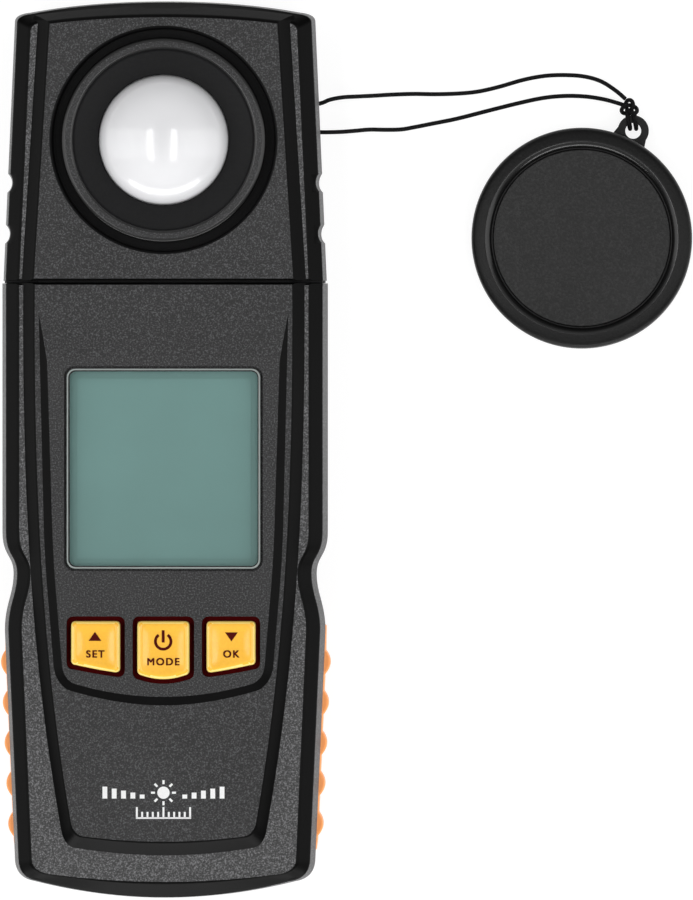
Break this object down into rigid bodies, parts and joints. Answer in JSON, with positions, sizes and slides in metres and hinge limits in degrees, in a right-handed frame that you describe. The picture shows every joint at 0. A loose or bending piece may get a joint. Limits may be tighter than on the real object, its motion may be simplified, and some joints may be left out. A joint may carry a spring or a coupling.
{
  "type": "handheld light meter",
  "caption": "Pocket light meter with a swivelling domed sensor head, a display, rubber keys, a sliding battery door and a lens cap on a thin cord.",
  "frame": {"origin": "on the flat back face, in the middle of the meter's length and width", "axes": "+Z out of the display, +Y from the case to the sensor head, +X the side that the lanyard leaves from; the meter lies on its back"},
  "size_m": [0.13, 0.1686, 0.0297],
  "materials": {
    "case_plastic": "fine spark-eroded texture on the flats, smooth satin on the bevels",
    "grip_rubber": "soft satin",
    "key_rubber": "smooth silicone rubber, slight gloss",
    "diffuser": "white, semi-gloss, slightly translucent",
    "collar_plastic": "textured rim, smooth cone",
    "clear_lens": "clear polished window (acrylic; glass stands in for its look)",
    "lcd_glass": "grey-green display glass, off",
    "light_guide": "milky light guide",
    "circuit_board": "green solder mask",
    "chip_plastic": "moulded black",
    "socket_nylon": "natural nylon",
    "silicone": "grey silicone",
    "carbon": "matt carbon-filled rubber",
    "plated_steel": "bright plated",
    "cell_jacket": "printed film over a steel can; aluminium stands in for the cell's mean density",
    "filter_glass": "green colour-correcting glass",
    "silicon_cell": "dark blue sensor face",
    "nylon": "black nylon",
    "cap_rubber": "fine matt texture",
    "lanyard_cord": "thin black woven cord"
  },
  "bodies": {
    "case": {"body_front_shell": "case_plastic", "body_rear_shell": "case_plastic", "right_grip": "grip_rubber", "left_grip": "grip_rubber", "display_lens": "clear_lens", "lcd_glass": "lcd_glass", "backlight_plate": "light_guide", "zebra_strip": "silicone", "main_board": "circuit_board", "controller_chip": "chip_plastic", "cable_socket": "socket_nylon", "board_screw_1": "plated_steel", "board_screw_2": "plated_steel", "keypad_mat": "silicone", "battery_1": "cell_jacket", "battery_spring_1": "plated_steel", "battery_contact_1": "plated_steel", "battery_2": "cell_jacket", "battery_spring_2": "plated_steel", "battery_contact_2": "plated_steel", "battery_3": "cell_jacket", "battery_spring_3": "plated_steel", "battery_contact_3": "plated_steel", "case_screw_1": "plated_steel", "case_screw_2": "plated_steel", "case_screw_3": "plated_steel", "case_screw_4": "plated_steel", "sensor_cable": "chip_plastic", "friction_washer": "silicone", "lens_cap": "cap_rubber", "lanyard_upper_strand": "lanyard_cord", "lanyard_lower_strand": "lanyard_cord", "lanyard_knot": "lanyard_cord"},
    "head": {"head_front_shell": "case_plastic", "head_rear_shell": "case_plastic", "sensor_collar": "collar_plastic", "diffuser_dome": "diffuser", "sensor_holder": "nylon", "photopic_filter": "filter_glass", "photodiode": "silicon_cell", "sensor_board": "circuit_board", "sensor_plug": "socket_nylon", "swivel_hub": "nylon", "swivel_clip": "plated_steel", "head_screw_1": "plated_steel", "head_screw_2": "plated_steel", "head_screw_3": "plated_steel", "head_screw_4": "plated_steel", "lanyard_head_loop": "lanyard_cord"},
    "left_button": {"set_key": "key_rubber", "set_key_contact": "carbon"},
    "centre_button": {"power_key": "key_rubber", "power_key_contact": "carbon"},
    "right_button": {"enter_key": "key_rubber", "enter_key_contact": "carbon"},
    "door": {"battery_door": "case_plastic"}
  },
  "joints": [
    {"name": "head_swivel", "type": "hinge", "parent": "case", "child": "head", "pos_m": [0, 0.0315, 0.013], "axis": [0, 1, 0], "range_deg": [-180, 90]},
    {"name": "left_key_press", "type": "slide", "parent": "case", "child": "left_button", "axis": [0, 0, -1], "range_m": [0, 0.0008], "stiffness_N_per_m": 1200},
    {"name": "power_key_press", "type": "slide", "parent": "case", "child": "centre_button", "axis": [0, 0, -1], "range_m": [0, 0.0008], "stiffness_N_per_m": 1200},
    {"name": "right_key_press", "type": "slide", "parent": "case", "child": "right_button", "axis": [0, 0, -1], "range_m": [0, 0.0008], "stiffness_N_per_m": 1200},
    {"name": "battery_door_slide", "type": "slide", "parent": "case", "child": "door", "axis": [0, -1, 0], "range_m": [0, 0.06]}
  ]
}
